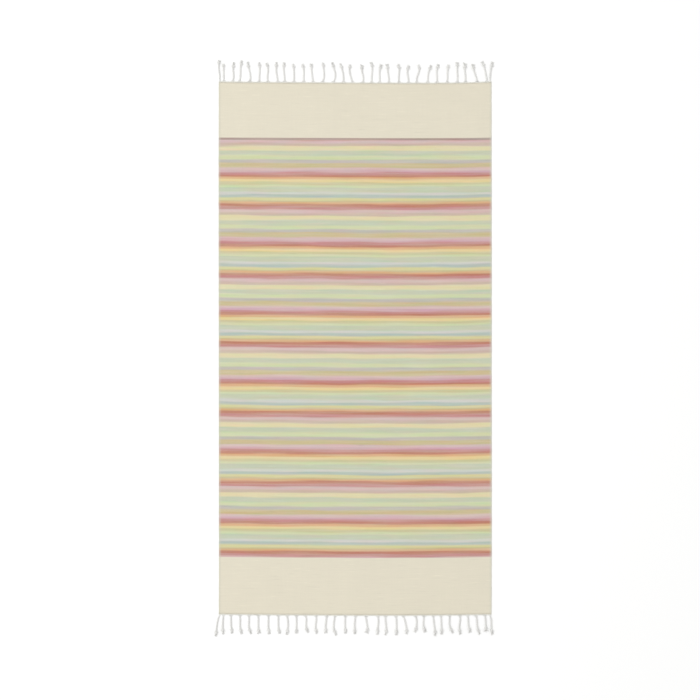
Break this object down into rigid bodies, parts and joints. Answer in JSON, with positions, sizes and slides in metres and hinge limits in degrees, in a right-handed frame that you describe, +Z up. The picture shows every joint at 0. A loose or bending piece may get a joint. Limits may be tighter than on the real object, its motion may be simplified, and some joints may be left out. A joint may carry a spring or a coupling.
{
  "type": "beach towel",
  "caption": "Flat-woven cotton beach towel laid out flat, with crosswise pastel stripes, plain cream end panels and a knotted tassel fringe at both ends.",
  "frame": {"origin": "middle of the cloth's underside, on the surface that the towel lies on", "axes": "+X across the towel's width, to the right when the head end is away from the viewer; +Y along its length, towards the head end; +Z up, out of the face that shows"},
  "size_m": [0.9243, 1.9044, 0.01],
  "materials": {
    "striped_cotton": "matt flat weave, cream with pastel cross stripes",
    "fringe_yarn": "matt twisted cotton yarn, undyed white"
  },
  "bodies": {
    "root": {"cloth": "striped_cotton", "fringe_head": "fringe_yarn", "fringe_foot": "fringe_yarn"}
  },
  "joints": []
}
